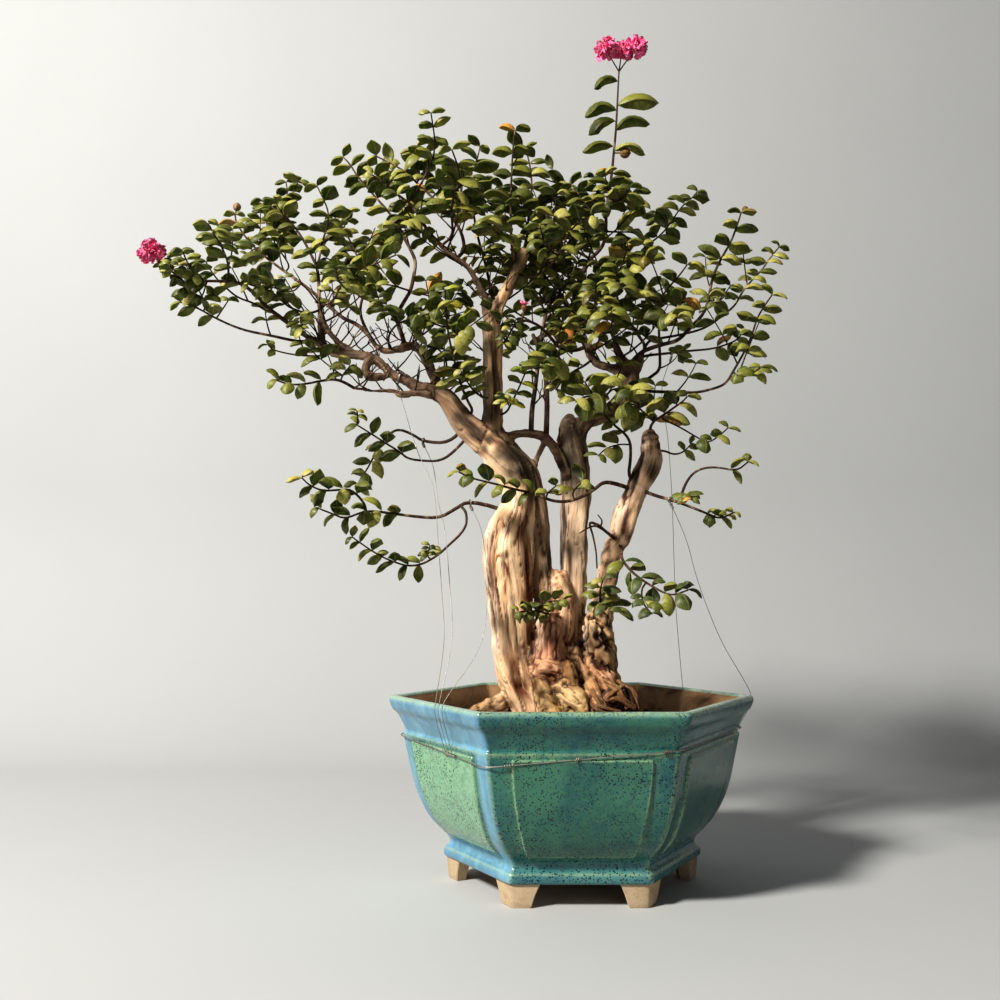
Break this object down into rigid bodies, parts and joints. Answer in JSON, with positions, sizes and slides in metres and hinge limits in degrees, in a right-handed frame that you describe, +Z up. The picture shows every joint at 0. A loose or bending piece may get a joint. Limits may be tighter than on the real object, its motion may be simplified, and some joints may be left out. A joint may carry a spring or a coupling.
{
  "type": "bonsai tree",
  "caption": "Crape myrtle bonsai: fused trunks with root flare, thin leafy branches, pink blooms and wire guys, standing in a glazed hexagonal pot on corner feet",
  "frame": {"origin": "middle of the whole plant's bounding box, on the surface under the pot's feet", "axes": "+Z up, +X to the viewer's right with the pot's front face toward -Y"},
  "size_m": [0.6494, 0.357, 0.845],
  "materials": {
    "pot": "glossy mottled green glaze with dark speckles; bare clay feet",
    "soil": "rough dark grains",
    "wood": "smooth flaking bark, tan over grey",
    "leaf": "satin leaves on brown twigs",
    "petal": "soft crinkled petals",
    "wire": "dull bare wire"
  },
  "bodies": {
    "root": {"pot": "pot", "soil": "soil", "wood": "wood", "spray_far_left": "leaf", "spray_left_yellow": "leaf", "spray_left_upper": "leaf", "spray_left_tall": "leaf", "spray_left_inner": "leaf", "spray_left_cross": "leaf", "spray_crown_left": "leaf", "spray_crown_thin": "leaf", "spray_crown_front": "leaf", "spray_crown_inner": "leaf", "spray_crown_tall": "leaf", "spray_crown_back": "leaf", "spray_crown_top": "leaf", "spray_crown_right": "leaf", "spray_crown_low": "leaf", "spray_middle_front": "leaf", "spray_middle_low": "leaf", "spray_trunk_leaves": "leaf", "spray_inner_yellow": "leaf", "spray_inner_bud": "leaf", "spray_inner_green": "leaf", "spray_arm_leaves": "leaf", "spray_right_bare": "leaf", "spray_right_stub": "leaf", "spray_right_inner": "leaf", "spray_top_shoot": "leaf", "spray_centre_top": "leaf", "spray_centre_right": "leaf", "spray_centre_low": "leaf", "spray_low_front": "leaf", "spray_right_side": "leaf", "spray_stump_top": "leaf", "spray_right_forked": "leaf", "spray_right_twigs": "leaf", "spray_low_right": "leaf", "spray_base_leaves": "leaf", "spray_base_right": "leaf", "spray_low_left": "leaf", "spray_left_shelf": "leaf", "spray_left_droop": "leaf", "spray_left_under": "leaf", "bloom_top": "petal", "bloom_left": "petal", "bloom_bud": "petal", "wire_band": "wire", "guy_left_front": "wire", "guy_left_back": "wire", "guy_slack": "wire", "guy_right_back": "wire", "guy_right": "wire"}
  },
  "joints": []
}
